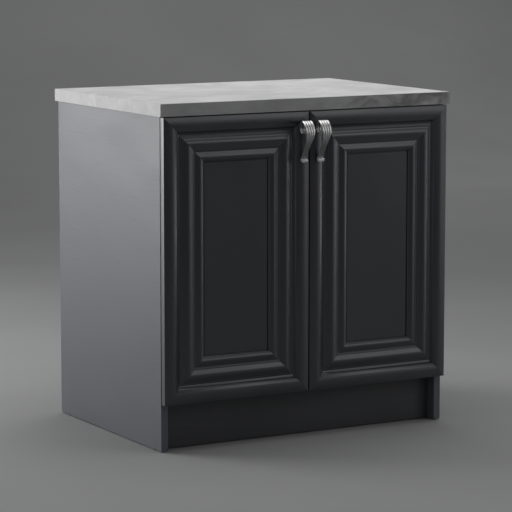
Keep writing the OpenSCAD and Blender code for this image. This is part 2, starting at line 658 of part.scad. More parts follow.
side_panel_left();
side_panel_right();
bottom_board();
back_board();
front_top_rail();
rear_top_rail();
shelf();
shelf_pins();
plinth_board();
plinth_brackets();
bracket_screws();
floor_glides();
cam_bolts();
cam_locks();
dowels();
back_board_screws();
worktop_core();
worktop_laminate();
worktop_front_band();
worktop_rear_band();
worktop_left_band();
worktop_right_band();
worktop_screws();
door_bumpers();
left_door_outer_stile();
left_door_inner_stile();
left_door_top_rail();
left_door_bottom_rail();
left_door_panel();
left_pull();
left_pull_screws();
left_hinge_cups();
left_cup_screws();
left_cup_pins();
left_hinge_links();
left_upper_hinge_arm();
left_lower_hinge_arm();
left_arm_pins();
left_hinge_plates();
right_door_outer_stile();
right_door_inner_stile();
right_door_top_rail();
right_door_bottom_rail();
right_door_panel();
right_pull();
right_pull_screws();
right_hinge_cups();
right_cup_screws();
right_cup_pins();
right_hinge_links();
right_upper_hinge_arm();
right_lower_hinge_arm();
right_arm_pins();
right_hinge_plates();
hinge_plate_screws();
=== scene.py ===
"""Looks of the two-door kitchen base unit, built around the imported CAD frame.
Metres, +Z up, the doors face -Y, origin on the floor at the middle of the unit."""
import bmesh
import bpy
import json
import math
import numpy as np
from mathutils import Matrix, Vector


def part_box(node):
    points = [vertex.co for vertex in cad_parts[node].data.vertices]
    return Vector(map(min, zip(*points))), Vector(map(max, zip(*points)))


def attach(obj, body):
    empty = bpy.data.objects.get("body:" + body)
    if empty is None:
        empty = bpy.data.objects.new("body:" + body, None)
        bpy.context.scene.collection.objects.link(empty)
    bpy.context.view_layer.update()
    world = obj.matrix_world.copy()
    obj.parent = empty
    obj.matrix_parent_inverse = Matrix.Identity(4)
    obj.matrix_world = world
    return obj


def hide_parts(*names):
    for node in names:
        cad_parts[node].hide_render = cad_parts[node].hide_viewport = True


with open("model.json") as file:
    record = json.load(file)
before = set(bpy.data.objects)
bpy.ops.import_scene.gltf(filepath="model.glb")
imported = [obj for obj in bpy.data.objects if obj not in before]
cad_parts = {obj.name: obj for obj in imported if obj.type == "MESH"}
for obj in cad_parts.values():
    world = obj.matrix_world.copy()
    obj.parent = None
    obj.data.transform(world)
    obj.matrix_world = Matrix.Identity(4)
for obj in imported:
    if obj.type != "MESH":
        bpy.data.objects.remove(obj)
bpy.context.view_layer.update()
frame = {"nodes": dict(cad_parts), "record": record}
nodes = frame["nodes"]
scene = bpy.context.scene
MM = 0.001
# the unit's own y = 0 is at the front edges of the side panels
YM = -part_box("side_panel_left")[0][1] * 1000

# ------------------------------------------------------------------ camera
cam_data = bpy.data.cameras.new("view")
cam = bpy.data.objects.new("view", cam_data)
scene.collection.objects.link(cam)
cam.location = (-3.08035, -5.158426 - YM * MM, 1.28990)
cam.rotation_euler = (math.pi / 2 - 0.1391, 0, -0.5182)
cam_data.sensor_width = 36
cam_data.lens = 174.2
cam_data.clip_end = 60
scene.camera = cam

# ------------------------------------------------------------ node material helper


class Graph:
    """A node material on the principled shader."""

    def __init__(self, name):
        self.m = bpy.data.materials.new(name)
        self.m.use_nodes = True
        self.t = self.m.node_tree
        self.b = next(n for n in self.t.nodes if n.type == "BSDF_PRINCIPLED")
        self._co = None

    def node(self, kind, ins=None, **props):
        n = self.t.nodes.new(kind)
        for k, v in props.items():
            setattr(n, k, v)
        for k, v in (ins or {}).items():
            self.put(n.inputs[k], v)
        return n

    def put(self, sock, v):
        if isinstance(v, bpy.types.NodeSocket):
            self.t.links.new(v, sock)
        else:
            if sock.type == "RGBA" and len(v) == 3:
                v = (*v, 1.0)
            sock.default_value = v

    def set(self, **k):
        for name, v in k.items():
            self.put(self.b.inputs[name.replace("_", " ")], v)

    def co(self):
        if self._co is None:
            self._co = self.node("ShaderNodeTexCoord").outputs["Object"]
        return self._co

    def scaled(self, s, loc=(0, 0, 0), vec=None):
        n = self.node("ShaderNodeMapping", {"Vector": vec or self.co(), "Scale": s, "Location": loc})
        return n.outputs[0]

    def noise(self, s, detail=3, rough=0.55, loc=(0, 0, 0), distort=0.0, vec=None):
        s = (s, s, s) if isinstance(s, (int, float)) else s
        n = self.node("ShaderNodeTexNoise", {"Vector": self.scaled(s, loc, vec), "Scale": 1.0, "Detail": detail,
                                             "Roughness": rough, "Distortion": distort})
        return n.outputs["Fac"]

    def cells(self, s, loc=(0, 0, 0), feature="F1", out="Distance", random=1.0, vec=None):
        s = (s, s, s) if isinstance(s, (int, float)) else s
        n = self.node("ShaderNodeTexVoronoi", {"Vector": self.scaled(s, loc, vec), "Scale": 1.0, "Randomness": random},
                      feature=feature)
        return n.outputs[out]

    def span(self, v, a, b, lo=0.0, hi=1.0, smooth=False):
        n = self.node("ShaderNodeMapRange", {"Value": v, "From Min": a, "From Max": b, "To Min": lo, "To Max": hi},
                      clamp=True, interpolation_type="SMOOTHSTEP" if smooth else "LINEAR")
        return n.outputs[0]

    def math(self, op, a, b=0.0, c=None):
        n = self.node("ShaderNodeMath", {0: a, 1: b}, operation=op)
        if c is not None:
            self.put(n.inputs[2], c)
        return n.outputs[0]

    def mix(self, fac, a, b, mode="MIX"):
        n = self.node("ShaderNodeMix", {"Factor": fac}, data_type="RGBA", blend_type=mode)
        self.put(n.inputs[6], a)
        self.put(n.inputs[7], b)
        return n.outputs[2]

    def ramp(self, v, stops, interp="LINEAR"):
        n = self.node("ShaderNodeValToRGB", {"Fac": v})
        e = n.color_ramp.elements
        n.color_ramp.interpolation = interp
        while len(e) < len(stops):
            e.new(0.5)
        for el, (p, c) in zip(e, stops):
            el.position = p
            el.color = (*c, 1.0) if len(c) == 3 else c
        return n.outputs[0]

    def bump(self, h, strength, dist, under=None):
        n = self.node("ShaderNodeBump", {"Height": h, "Strength": strength, "Distance": dist})
        if under is not None:
            self.put(n.inputs["Normal"], under)
        return n.outputs[0]


def board(name, base, along, rough=0.42, spec=0.5, contrast=1.0):
    """Melamine-faced board: even graphite with fine dashes along its grain."""
    g = Graph(name)
    long, across = 9.0, 330.0
    s = (long, across, across) if along == "X" else (across, long, across)
    fine = g.noise(tuple(v * 1.9 for v in s), 2, 0.6)
    dash = g.noise(s, 4, 0.62, (3.1, 1.7, 0.4), 0.15)
    cloud = g.noise(tuple(v * 0.4 if v < 50 else v * 0.03 for v in s), 3, 0.5, (7, 2, 5))
    dark = g.span(dash, 0.565, 0.67)
    light = g.span(dash, 0.43, 0.33)
    speck = g.span(g.noise(1500, 2, 0.6, (1, 5, 2)), 0.35, 0.65)
    c = tuple(base)
    col = g.mix(g.span(cloud, 0.3, 0.7), tuple(v * (1 - 0.09 * contrast) for v in c), tuple(v * (1 + 0.09 * contrast) for v in c))
    col = g.mix(g.math("MULTIPLY", dark, 0.42 * contrast), col, tuple(v * 0.62 for v in c))
    col = g.mix(g.math("MULTIPLY", light, 0.34 * contrast), col, tuple(min(1, v * 1.45) for v in c))
    col = g.mix(g.math("MULTIPLY", fine, 0.10), col, tuple(v * 0.72 for v in c))
    col = g.mix(g.math("MULTIPLY", speck, 0.10), col, tuple(v * 1.18 for v in c))
    r = g.math("ADD", g.span(cloud, 0.25, 0.75, rough - 0.03, rough + 0.04), g.math("MULTIPLY", dark, 0.09))
    h = g.math("SUBTRACT", g.math("MULTIPLY", speck, 0.25), g.math("MULTIPLY", dark, 1.0))
    g.set(Base_Color=col, Roughness=r, Specular_IOR_Level=spec, Normal=g.bump(h, 0.35, 0.00006))
    return g.m


def door_finish(name, base):
    """Satin graphite finish over moulded board, with very fine upright pores."""
    g = Graph(name)
    pores = g.noise((520, 520, 16), 4, 0.6, (2, 4, 1), 0.1)
    stip = g.noise(2100, 2, 0.55, (4, 1, 8))
    cloud = g.noise((9, 9, 3), 3, 0.5, (3, 9, 5))
    streak = g.noise((60, 60, 2.2), 3, 0.55, (5, 1, 3))
    pore = g.span(pores, 0.60, 0.70)
    c = tuple(base)
    col = g.mix(g.span(cloud, 0.3, 0.7), tuple(v * 0.90 for v in c), tuple(v * 1.10 for v in c))
    col = g.mix(g.math("MULTIPLY", g.span(streak, 0.35, 0.7), 0.16), col, tuple(v * 1.35 for v in c))
    col = g.mix(g.math("MULTIPLY", pore, 0.45), col, tuple(v * 0.55 for v in c))
    col = g.mix(g.math("MULTIPLY", g.span(stip, 0.5, 0.8), 0.10), col, tuple(v * 1.5 for v in c))
    r = g.math("ADD", g.span(cloud, 0.25, 0.75, 0.32, 0.38), g.math("MULTIPLY", pore, 0.10))
    h = g.math("SUBTRACT", g.math("MULTIPLY", stip, 0.35), g.math("MULTIPLY", pore, 0.9))
    g.set(Base_Color=col, Roughness=r, Specular_IOR_Level=1.0, Normal=g.bump(h, 0.30, 0.00006))
    return g.m


def stone(name, base, blotched_with_right_shade=False):
    """Concrete-look laminate: soft clouds, trowel marks, small pores and flecks."""
    g = Graph(name)
    big = g.noise((8.0, 8.0, 8.0), 5, 0.58, (2.3, 0.4, 0.7), 0.55)
    mid = g.noise((26, 34, 34), 4, 0.6, (6, 1, 4), 0.6)
    fine = g.noise(170, 4, 0.62, (3, 5, 2))
    grain = g.noise(900, 3, 0.6, (8, 3, 1))
    veil = g.span(g.noise((7, 10, 10), 5, 0.62, (5.5, 0.9, 2.1), 1.2), 0.52, 0.66)
    mark = g.span(g.math("ABSOLUTE", g.math("SUBTRACT", g.noise((4.5, 20, 20), 3, 0.5, (9, 3, 4), 1.0), 0.5)), 0.0, 0.012, 1.0, 0.0)
    pit = g.span(g.cells(210, (2, 7, 1)), 0.10, 0.20, 1.0, 0.0)
    pit = g.math("MULTIPLY", pit, g.span(g.noise(30, 2, 0.5, (6, 6, 2)), 0.56, 0.66))
    c = tuple(base)
    col = g.mix(g.span(big, 0.36, 0.66, 0, 1, True), tuple(v * 0.86 for v in c), tuple(v * 1.08 for v in c))
    col = g.mix(g.math("MULTIPLY", g.span(mid, 0.35, 0.68), 0.42), col, tuple(v * 0.80 for v in c))
    col = g.mix(g.math("MULTIPLY", veil, 0.40), col, tuple(min(1, v * 1.26) for v in c))
    col = g.mix(g.math("MULTIPLY", g.span(fine, 0.35, 0.70), 0.22), col, (c[0] * 0.74, c[1] * 0.735, c[2] * 0.72))
    col = g.mix(g.math("MULTIPLY", g.span(grain, 0.40, 0.70), 0.16), col, tuple(min(1, v * 1.22) for v in c))
    col = g.mix(g.math("MULTIPLY", mark, 0.10), col, tuple(v * 0.62 for v in c))
    col = g.mix(g.math("MULTIPLY", pit, 0.6), col, (c[0] * 0.46, c[1] * 0.455, c[2] * 0.44))
    # dark mottling, made heavier toward the unit's right end as painted shade
    if blotched_with_right_shade:
        x = g.node("ShaderNodeSeparateXYZ", {"Vector": g.co()}).outputs[0]
        # painted shade: weight rising from the left toward the unit's right end
        end = g.span(x, -0.05, 0.24, 0.10, 1.0, True)
        patch = g.span(g.noise((11, 26, 26), 4, 0.6, (4.4, 1.3, 2.2), 0.8), 0.40, 0.60, 0, 1, True)
        col = g.mix(g.math("MULTIPLY", patch, g.math("MULTIPLY", end, 0.85)), col, tuple(v * 0.36 for v in c))
    r = g.math("ADD", g.span(big, 0.3, 0.7, 0.40, 0.48), g.math("MULTIPLY", g.span(fine, 0.3, 0.7), 0.08))
    h = g.math("SUBTRACT", g.math("ADD", g.math("MULTIPLY", grain, 0.25), g.math("MULTIPLY", fine, 0.35)), g.math("MULTIPLY", pit, 1.0))
    g.set(Base_Color=col, Roughness=r, Specular_IOR_Level=0.45, Normal=g.bump(h, 0.35, 0.00012))
    return g.m


def pewter(name):
    """Antique silver casting: polished ribs, dark tarnish left in the hollows, painted shade down the shaft and inside
    the curl, painted highlight on the foot roll and the curl's end.
    """
    g = Graph(name)
    rec = g.node("ShaderNodeAttribute", attribute_name="recess").outputs["Fac"]
    # second attribute: painted shade down the shaft and inside the curl
    tone = g.node("ShaderNodeAttribute", attribute_name="painted_shade").outputs["Fac"]
    # third attribute: painted highlight on the foot roll and the curl's end
    shine = g.node("ShaderNodeAttribute", attribute_name="painted_highlight").outputs["Fac"]
    blot = g.noise(420, 4, 0.6, (1, 2, 5), 0.3)
    fine = g.noise(2600, 3, 0.6, (4, 7, 2))
    scratch = g.noise((5200, 5200, 190), 2, 0.5, (2, 2, 2))
    dark = g.math("ADD", rec, g.math("MULTIPLY", g.math("SUBTRACT", blot, 0.5), 0.55))
    dark = g.span(dark, 0.30, 0.86, 0, 1, True)
    col = g.mix(g.span(blot, 0.35, 0.7), (0.60, 0.60, 0.59), (0.72, 0.72, 0.71))
    # painted shade: darkens the shaft and the inside of the curl
    col = g.mix(tone, col, (0.165, 0.168, 0.172))
    col = g.mix(g.math("MULTIPLY", dark, 0.85), col, (0.080, 0.080, 0.080))
    # painted highlight on the foot roll and the curl's end
    col = g.mix(shine, col, (0.93, 0.93, 0.92))
    r = g.math("ADD", g.span(fine, 0.3, 0.7, 0.33, 0.42), g.math("MULTIPLY", dark, 0.22))
    r = g.math("ADD", r, g.math("MULTIPLY", shine, 0.24))
    h = g.math("ADD", g.math("MULTIPLY", fine, 0.6), g.math("ADD", g.math("MULTIPLY", blot, 1.2), g.math("MULTIPLY", scratch, 0.35)))
    g.set(Base_Color=col, Roughness=r, Normal=g.bump(h, 0.22, 0.00008))
    g.b.inputs["Metallic"].default_value = 1.0
    return g.m


def plated(name, base, rough=0.30, along=(260, 2400, 2400), metal=1.0):
    """Nickel-plated or cast metal with drawn lines and faint handling marks."""
    g = Graph(name)
    lines = g.noise(along, 3, 0.6, (1, 4, 2))
    blot = g.noise(140, 4, 0.6, (3, 2, 8), 0.2)
    fine = g.noise(3200, 2, 0.5, (2, 6, 4))
    c = tuple(base)
    col = g.mix(g.span(blot, 0.35, 0.68), tuple(v * 0.86 for v in c), tuple(min(1, v * 1.08) for v in c))
    col = g.mix(g.math("MULTIPLY", g.span(lines, 0.45, 0.75), 0.25), col, tuple(v * 0.70 for v in c))
    r = g.math("ADD", g.span(blot, 0.3, 0.7, rough - 0.05, rough + 0.08), g.math("MULTIPLY", g.span(fine, 0.4, 0.7), 0.06))
    h = g.math("ADD", g.math("MULTIPLY", lines, 0.6), g.math("MULTIPLY", fine, 0.4))
    g.set(Base_Color=col, Roughness=r, Normal=g.bump(h, 0.22, 0.00004))
    g.b.inputs["Metallic"].default_value = metal
    return g.m


def chipboard(name):
    g = Graph(name)
    cell = g.cells((230, 620, 420), (1, 2, 3), out="Color")
    v = g.node("ShaderNodeSeparateColor", {"Color": cell}).outputs[0]
    edge = g.span(g.cells((230, 620, 420), (1, 2, 3), feature="DISTANCE_TO_EDGE"), 0.0, 0.10)
    dust = g.noise(900, 3, 0.6)
    col = g.ramp(v, [(0.0, (0.22, 0.15, 0.085)), (0.35, (0.38, 0.28, 0.17)), (0.7, (0.50, 0.39, 0.25)), (1.0, (0.62, 0.51, 0.35))])
    col = g.mix(g.math("MULTIPLY", g.math("SUBTRACT", 1.0, edge), 0.5), col, (0.16, 0.11, 0.065))
    col = g.mix(g.math("MULTIPLY", dust, 0.25), col, (0.46, 0.36, 0.24))
    g.set(Base_Color=col, Roughness=g.span(dust, 0.3, 0.7, 0.74, 0.86),
          Normal=g.bump(g.math("ADD", g.math("MULTIPLY", v, 0.6), edge), 0.5, 0.00025))
    return g.m


def beech(name):
    g = Graph(name)
    grain = g.noise((26, 520, 520), 4, 0.6, (1, 2, 3), 0.2)
    fleck = g.span(g.noise((160, 900, 1500), 2, 0.5, (5, 1, 2)), 0.6, 0.7)
    col = g.ramp(grain, [(0.3, (0.50, 0.34, 0.19)), (0.55, (0.62, 0.45, 0.27)), (0.75, (0.70, 0.54, 0.35))])
    col = g.mix(g.math("MULTIPLY", fleck, 0.5), col, (0.38, 0.24, 0.13))
    g.set(Base_Color=col, Roughness=g.span(grain, 0.3, 0.7, 0.52, 0.64), Normal=g.bump(grain, 0.3, 0.0001))
    return g.m


def plastic(name, base, rough=0.5, clear=False):
    g = Graph(name)
    tex = g.cells(1700, (2, 3, 1), feature="SMOOTH_F1")
    cloud = g.noise(60, 3, 0.5, (4, 2, 1))
    c = tuple(base)
    col = g.mix(g.span(cloud, 0.3, 0.7), tuple(v * 0.86 for v in c), tuple(min(1, v * 1.14) for v in c))
    col = g.mix(g.math("MULTIPLY", tex, 0.3), col, tuple(min(1, v * 1.4 + 0.004) for v in c))
    g.set(Base_Color=col, Roughness=g.span(tex, 0.2, 0.8, rough - 0.05, rough + 0.07), Normal=g.bump(tex, 0.25, 0.00008))
    if clear:
        g.b.inputs["Transmission Weight"].default_value = 0.55
        g.b.inputs["IOR"].default_value = 1.45
    return g.m


GRAPHITE = (0.103, 0.109, 0.126)
MAT = {
    "board_y": board("graphite_board_side", GRAPHITE, "Y", contrast=0.26),
    "board_x": board("graphite_board_level", GRAPHITE, "X"),
    "plinth": board("graphite_plinth_board", (0.048, 0.049, 0.053), "X", 0.44),
    "door": door_finish("graphite_door_finish", (0.020, 0.0218, 0.0295)),
    "stone": stone("stone_look_laminate", (0.695, 0.694, 0.691)),
    "stone_edge": stone("stone_look_edge", (0.515, 0.514, 0.512)),
    # front band: a darker copy of the edge laminate, painted shade on the worktop's front face
    "stone_front": stone("stone_look_front_edge", (0.40, 0.40, 0.404), True),
    "pewter": pewter("antique_silver"),
    "steel": plated("nickel_plated_steel", (0.60, 0.60, 0.59)),
    "zinc": plated("zinc_casting", (0.46, 0.465, 0.47), 0.42, (700, 700, 700)),
    "chip": chipboard("chipboard_core"),
    "beech": beech("beech_dowel"),
    "black": plastic("black_moulding", (0.022, 0.022, 0.024)),
    "bumper": plastic("clear_bumper", (0.62, 0.62, 0.60), 0.3, True),
}


def use(obj, key):
    if not obj.data.materials:
        obj.data.materials.append(MAT[key])
    for i in range(len(obj.data.materials)):
        obj.data.materials[i] = MAT[key]


SLOT_MAT = {"plinth_board": "plinth", "door_paint": "door", "stone_laminate": "stone", "stone_edge": "stone_edge",
            "chipboard": "chip", "beech": "beech", "pewter": "pewter", "plated_steel": "steel", "zinc_casting": "zinc",
            "black_plastic": "black", "clear_bumper": "bumper"}
slot_of = {s["node"]: s["material_slot"] for s in frame["record"]["subparts"]}
for n, o in nodes.items():
    s = slot_of[n]
    if s == "carcass_board":
        use(o, "board_y" if n.startswith("side_panel") else "board_x")
    else:
        use(o, SLOT_MAT[s])
# the worktop's front band takes the darker copy of the edge laminate, painted shade
use(nodes["worktop_front_band"], "stone_front")

# soft arrises on the carried-over pieces
ARRIS = {"side_panel_left": 0.3, "side_panel_right": 0.3, "bottom_board": 0.4, "back_board": 0.4, "front_top_rail": 0.4,
         "rear_top_rail": 0.4, "shelf": 0.5, "plinth_board": 0.5, "worktop_front_band": 0.35, "worktop_rear_band": 0.35,
         "worktop_left_band": 0.35, "worktop_right_band": 0.35, "plinth_brackets": 0.3, "floor_glides": 0.5,
         "left_hinge_plates": 0.25, "right_hinge_plates": 0.25, "left_upper_hinge_arm": 0.3, "left_lower_hinge_arm": 0.3,
         "right_upper_hinge_arm": 0.3, "right_lower_hinge_arm": 0.3, "left_hinge_cups": 0.2, "right_hinge_cups": 0.2}
for n, w in ARRIS.items():
    o = nodes[n]
    weld = o.modifiers.new("weld", "WELD")
    weld.merge_threshold = 0.00001
    flat = o.modifiers.new("flat", "DECIMATE")
    flat.decimate_type = "DISSOLVE"
    flat.angle_limit = math.radians(0.6)
    bev = o.modifiers.new("arris", "BEVEL")
    bev.width = w * MM
    bev.segments = 2
    bev.limit_method = "ANGLE"
    bev.angle_limit = math.radians(40)
    bev.use_clamp_overlap = True
    bev.harden_normals = False

# ------------------------------------------------------------ door geometry
DB, DC = -1.8, -21.8           # back face and crest of a door
DX0, DX1, DZ0, DZ1 = 399.2, 1.5, 117.0, 805.0
FRAME_W = 41.0


def ease(k, s):
    if k == 1:
        return math.sin(math.pi / 2 * s)
    if k == 2:
        return 1 - math.cos(math.pi / 2 * s)
    if k == 3:
        return (1 - math.cos(math.pi * s)) / 2
    if k == 4:
        return s * s
    if k == 5:
        return s * (2 - s)
    return s


def run(a, b, k, n):
    return [(a[0] + (b[0] - a[0]) * i / n, a[1] + (b[1] - a[1]) * ease(k, i / n)) for i in range(1, n + 1)]


def curve(pts, sub):
    """A smooth curve through the points, without its first one."""
    out = []
    for i in range(len(pts) - 1):
        a, b, c, d = (pts[max(0, min(len(pts) - 1, i + k))] for k in (-1, 0, 1, 2))
        for k in range(1, sub + 1):
            t = k / sub
            out.append(tuple(0.5 * (2 * b[j] + (c[j] - a[j]) * t + (2 * a[j] - 5 * b[j] + 4 * c[j] - d[j]) * t * t
                                    + (3 * b[j] - a[j] - 3 * c[j] + d[j]) * t ** 3) for j in (0, 1)))
    return out


FRAME_SEC = ([(0, -3.8)] + run((0, -3.8), (0.7, -3.4), 1, 5) + run((0.7, -3.4), (19, 0), 5, 20)
             + curve([(19, 0), (20.5, -0.03), (22, -0.15), (24, -0.45), (26, -0.87), (28, -1.32), (30, -1.83), (32, -2.4), (33.5, -2.9),
                      (35, -3.55), (36.2, -4.4), (37, -5.2), (37.7, -6.2), (38.3, -7.0), (38.9, -7.45), (41, -8.0)], 3))
PANEL_SEC = ([(41.15, -8.05)] + run((41.15, -8.05), (42.6, -8.95), 0, 2) + [(43.0, -9.17), (43.4, -9.3), (43.9, -9.35)]
             + run((43.9, -9.35), (46.2, -8.25), 3, 8) + [(48.2, -8.17)] + run((48.2, -8.17), (49.1, -7.87), 4, 3)
             + run((49.1, -7.87), (51.2, -6.3), 0, 2) + run((51.2, -6.3), (53.4, -5.5), 5, 4) + run((53.4, -5.5), (57.4, -3.2), 0, 2)
             + run((57.4, -3.2), (65.0, -1.05), 5, 12) + run((65.0, -1.05), (70.0, -2.05), 4, 7) + run((70.0, -2.05), (78.0, -5.3), 0, 3)
             + run((78.0, -5.3), (80.2, -5.88), 5, 4) + [(81.6, -6.0)] + run((81.6, -6.0), (84.0, -7.4), 3, 6) + [(84.6, -7.45)]
             + run((84.6, -7.45), (86.4, -7.1), 4, 4) + run((86.4, -7.1), (94.5, -4.05), 0, 3) + run((94.5, -4.05), (98, -3.3), 5, 6)
             + run((98, -3.3), (105.0, -6.0), 4, 9) + [(106.0, -6.72), (107.0, -7.45), (107.8, -8.05), (108.5, -8.65), (109.1, -9.35),
                (109.5, -10.0), (109.75, -10.7), (110.0, -13.4), (110.15, -13.5), (111.95, -13.5), (112.1, -12.1), (112.25, -12.0),
                (113.4, -12.0), (115.0, -12.0)])
TON0, TON1 = DB - 9.6, DB - 4.6
PANEL_BACK = DB - 1.5


def arc(cx, cy, r, a0, a1, n):
    return [(cx + r * math.cos(math.radians(a0 + (a1 - a0) * i / n)), cy + r * math.sin(math.radians(a0 + (a1 - a0) * i / n)))
            for i in range(n + 1)]


def frame_outline():
    """Closed outline of a frame member in (t, y), y in the cabinet's millimetres."""
    front = [(t, DC - h) for t, h in FRAME_SEC]
    back = [(FRAME_W, TON0 - 0.1), (FRAME_W - 3, TON0 - 0.1), (FRAME_W - 3, TON1 + 0.1), (FRAME_W, TON1 + 0.1), (FRAME_W, DB - 0.3),
            (FRAME_W - 0.3, DB)]
    return front + back + arc(0.4, DB - 0.4, 0.4, 90, 180, 4)


def new_object(name, bm, mat, sharp_deg=32, split=()):
    """Makes the mesh, smooth apart from its real edges."""
    bmesh.ops.recalc_face_normals(bm, faces=bm.faces)
    for f in bm.faces:
        f.smooth = True
    lim = math.radians(sharp_deg)
    for e in bm.edges:
        if len(e.link_faces) == 2 and e.calc_face_angle(0) > lim:
            e.smooth = False
    me = bpy.data.meshes.new(name)
    bm.to_mesh(me)
    bm.free()
    ob = bpy.data.objects.new(name, me)
    scene.collection.objects.link(ob)
    me.materials.append(MAT[mat])
    return ob


def fix_volume(bm):
    bmesh.ops.recalc_face_normals(bm, faces=bm.faces)
    if bm.calc_volume(signed=True) < 0:
        bmesh.ops.reverse_faces(bm, faces=bm.faces)


def member(length, place):
    """A moulded frame member with mitred ends; place(t, y, s) gives the point
    at distance s along the member."""
    sec = frame_outline()
    nf = len(FRAME_SEC)
    bm = bmesh.new()
    rings = []
    for end, off, dip in ((0, 0.03, 0.16), (0, 0.34, 0.0), (1, 0.34, 0.0), (1, 0.03, 0.16)):
        ring = []
        for i, (t, y) in enumerate(sec):
            s = t + off if end == 0 else length - t - off
            yy = y + (dip if i < nf - 1 else 0.0)
            ring.append(bm.verts.new(place(t, yy, s)))
        rings.append(ring)
    n = len(sec)
    for a, b in zip(rings, rings[1:]):
        for i in range(n):
            j = (i + 1) % n
            bm.faces.new((a[i], a[j], b[j], b[i]))
    bm.faces.new(rings[0])
    bm.faces.new(list(reversed(rings[-1])))
    return bm


def P(x, y, z):
    return Vector((x * MM, (y - YM) * MM, z * MM))


def cut_bores(ob, spots):
    """Cuts round blind holes for the hinge cups into the back of a stile."""
    bm = bmesh.new()
    for x, z, r, y0, y1 in spots:
        seg = 96
        a = [bm.verts.new(P(x + r * math.cos(2 * math.pi * i / seg), y0, z + r * math.sin(2 * math.pi * i / seg))) for i in range(seg)]
        b = [bm.verts.new(P(x + r * math.cos(2 * math.pi * i / seg), y1, z + r * math.sin(2 * math.pi * i / seg))) for i in range(seg)]
        for i in range(seg):
            bm.faces.new((a[i], a[(i + 1) % seg], b[(i + 1) % seg], b[i]))
        bm.faces.new(a)
        bm.faces.new(list(reversed(b)))
    fix_volume(bm)
    me = bpy.data.meshes.new("cutter")
    bm.to_mesh(me)
    bm.free()
    cutter = bpy.data.objects.new("cutter", me)
    scene.collection.objects.link(cutter)
    mod = ob.modifiers.new("bores", "BOOLEAN")
    mod.operation = "DIFFERENCE"
    mod.solver = "EXACT"
    mod.object = cutter
    bpy.context.view_layer.update()
    dg = bpy.context.evaluated_depsgraph_get()
    res = bpy.data.meshes.new_from_object(ob.evaluated_get(dg))
    ob.modifiers.remove(mod)
    old = ob.data
    ob.data = res
    res.name = ob.name
    bpy.data.objects.remove(cutter)
    bpy.data.meshes.remove(old)
    bm = bmesh.new()
    bm.from_mesh(ob.data)
    for f in bm.faces:
        f.smooth = True
    for e in bm.edges:
        e.smooth = not (len(e.link_faces) == 2 and e.calc_face_angle(0) > math.radians(32))
    bm.to_mesh(ob.data)
    bm.free()


def build_door(side):
    m = -1 if side == "left" else 1
    body = side + "_door"
    height, width = DZ1 - DZ0, DX0 - DX1
    pieces = {
        "outer_stile": (height, lambda t, y, s: P(m * (DX0 - t), y, DZ0 + s)),
        "inner_stile": (height, lambda t, y, s: P(m * (DX1 + t), y, DZ0 + s)),
        "bottom_rail": (width, lambda t, y, s: P(m * (DX1 + s), y, DZ0 + t)),
        "top_rail": (width, lambda t, y, s: P(m * (DX1 + s), y, DZ1 - t)),
    }
    for part, (length, place) in pieces.items():
        bm = member(length, place)
        fix_volume(bm)
        ob = new_object(side + "_front_" + part, bm, "door")
        if part == "outer_stile":
            hz = (DZ0 + 100, DZ1 - 100.5)
            cut_bores(ob, [(m * (DX0 - 20.5), z, 17.5, DB - 12.1, 5.0) for z in hz])
        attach(ob, body)
        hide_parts(side + "_door_" + part)
    # the raised panel with its own moulding and flat field
    sec = ([(t, DC - h) for t, h in reversed(PANEL_SEC)]
           + [(FRAME_W + 0.15, TON0), (FRAME_W - 2.7, TON0), (FRAME_W - 2.7, TON1), (FRAME_W + 0.15, TON1), (FRAME_W + 0.15, PANEL_BACK)])
    bm = bmesh.new()
    corners = [(0, 0), (1, 0), (1, 1), (0, 1)]
    loops = []
    for cx, cz in corners:
        ring = []
        for t, y in sec:
            x = DX1 + t if cx == 0 else DX0 - t
            z = DZ0 + t if cz == 0 else DZ1 - t
            ring.append(bm.verts.new(P(m * x, y, z)))
        loops.append(ring)
    for k in range(4):
        a, b = loops[k], loops[(k + 1) % 4]
        for i in range(len(sec) - 1):
            bm.faces.new((a[i], a[i + 1], b[i + 1], b[i]))
    bm.faces.new([r[0] for r in loops])
    bm.faces.new([r[-1] for r in reversed(loops)])
    fix_volume(bm)
    # the mitre lines stay crisp
    diag = set()
    for r in loops:
        for a, b in zip(r, r[1:]):
            e = bm.edges.get((a, b))
            if e is not None:
                diag.add(e)
    bmesh.ops.recalc_face_normals(bm, faces=bm.faces)
    for f in bm.faces:
        f.smooth = True
    for e in bm.edges:
        if e in diag or (len(e.link_faces) == 2 and e.calc_face_angle(0) > math.radians(32)):
            e.smooth = False
    me = bpy.data.meshes.new(side + "_front_panel")
    bm.to_mesh(me)
    bm.free()
    ob = bpy.data.objects.new(side + "_front_panel", me)
    scene.collection.objects.link(ob)
    me.materials.append(MAT["door"])
    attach(ob, body)
    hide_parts(side + "_door_panel")


for side in ("left", "right"):
    build_door(side)

# ------------------------------------------------------------ scroll pulls
PULL_X, PULL_TOP = 23.0, 785.0
PULL_PTS = [(13.6, -94.7), (15, -96.8), (14.6, -99.3), (12.2, -100.9), (9.5, -100.2), (8.1, -97.6),
            (8.2, -93.6), (9.7, -89.4), (12.4, -84.6), (18.9, -72.5), (26.5, -61.5), (34.4, -48.8), (39.3, -37.5), (40.1, -26.5),
            (37, -16.2), (31, -7.4), (22.4, -1.5), (15.6, -3.4), (12, -9.4), (11.3, -16.5), (12.4, -23.6),
            (16.2, -29.2), (21, -30), (24.2, -26.8)]


def spline(pts, sub):
    p = np.array(pts, float)
    n = len(p)
    out = []
    for i in range(n - 1):
        a, b, c, d = p[max(0, i - 1)], p[i], p[i + 1], p[min(n - 1, i + 2)]
        for k in range(sub):
            t = k / sub
            out.append(0.5 * (2 * b + (c - a) * t + (2 * a - 5 * b + 4 * c - d) * t * t + (3 * b - a - 3 * c + d) * t ** 3))
    out.append(p[-1])
    return np.array(out)


